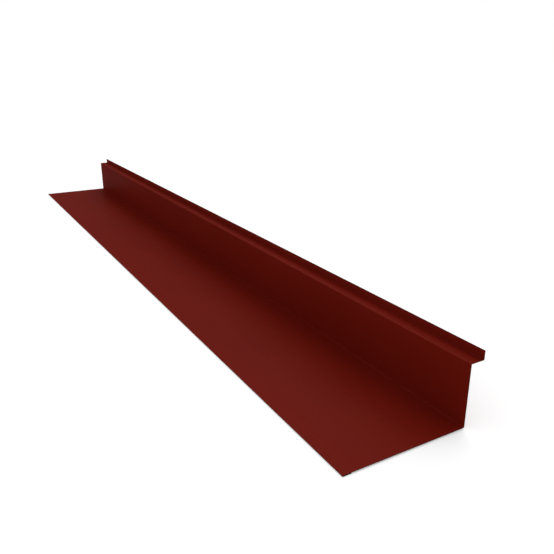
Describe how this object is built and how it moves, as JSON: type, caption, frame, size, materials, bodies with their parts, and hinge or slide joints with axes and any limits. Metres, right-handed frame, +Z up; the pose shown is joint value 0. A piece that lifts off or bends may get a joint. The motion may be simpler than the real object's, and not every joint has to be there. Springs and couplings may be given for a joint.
{
  "type": "side flashing",
  "caption": "Folded sheet-metal side flashing with a hemmed roof flange, an upstand, a narrow shelf and a short lip, sealing the line where a roof runs along a wall.",
  "frame": {"origin": "middle of the strip's length and of its depth, at the hem's underside, which is its lowest face", "axes": "+X along the strip, +Y from the hem towards the wall, +Z up, as the flange lies on a level roof"},
  "size_m": [2, 0.2456, 0.1221],
  "materials": {
    "coated_steel": "matte"
  },
  "bodies": {
    "root": {"side_flashing": "coated_steel"}
  },
  "joints": []
}
